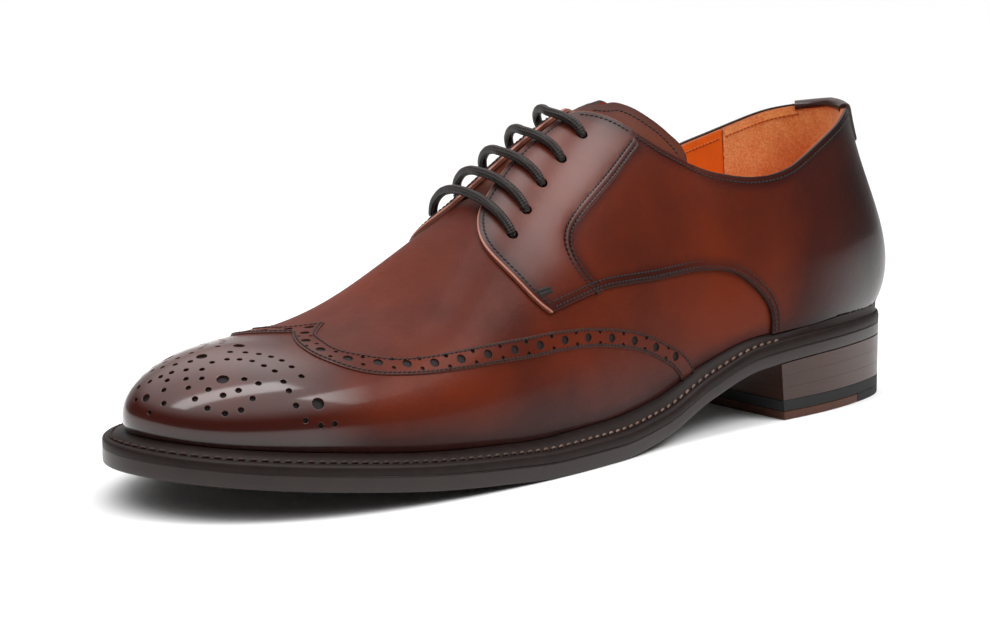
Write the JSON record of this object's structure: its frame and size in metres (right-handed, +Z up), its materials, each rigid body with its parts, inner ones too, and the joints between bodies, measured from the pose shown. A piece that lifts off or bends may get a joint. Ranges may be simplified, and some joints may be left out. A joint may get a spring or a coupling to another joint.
{
  "type": "derby shoe",
  "caption": "Left man's derby dress shoe with a stitched welt, stacked leather heel, open lacing and a hollow upper, standing empty on its sole.",
  "frame": {"origin": "middle of the heel on the floor, on the shoe's long axis", "axes": "+X from the heel to the toe, +Y to the outer (left) side, +Z up from the floor"},
  "size_m": [0.3065, 0.1034, 0.1101],
  "materials": {
    "sole_leather": "burnished dark brown edge, satin",
    "welt_leather": "dark brown, satin, stitched in tan",
    "insole_leather": "natural tan, matt",
    "heel_rubber": "black, matt",
    "inlay_leather": "red-brown, satin",
    "stack_leather": "dark brown, waxed",
    "calf_leather": "burnished red-brown calf, glossy",
    "tongue_leather": "burnished brown calf, semi-gloss",
    "lace_cotton": "waxed round cotton, satin"
  },
  "bodies": {
    "root": {"outsole": "sole_leather", "welt": "welt_leather", "heel_rand": "welt_leather", "insole": "insole_leather", "heel_top_rubber": "heel_rubber", "heel_top_inlay": "inlay_leather", "heel_lift_1": "stack_leather", "heel_lift_2": "stack_leather", "heel_lift_3": "stack_leather", "upper": "calf_leather", "tongue": "tongue_leather", "lace_bar_1": "lace_cotton", "lace_bar_2": "lace_cotton", "lace_bar_3": "lace_cotton", "lace_bar_4": "lace_cotton", "lace_bar_5": "lace_cotton"}
  },
  "joints": []
}
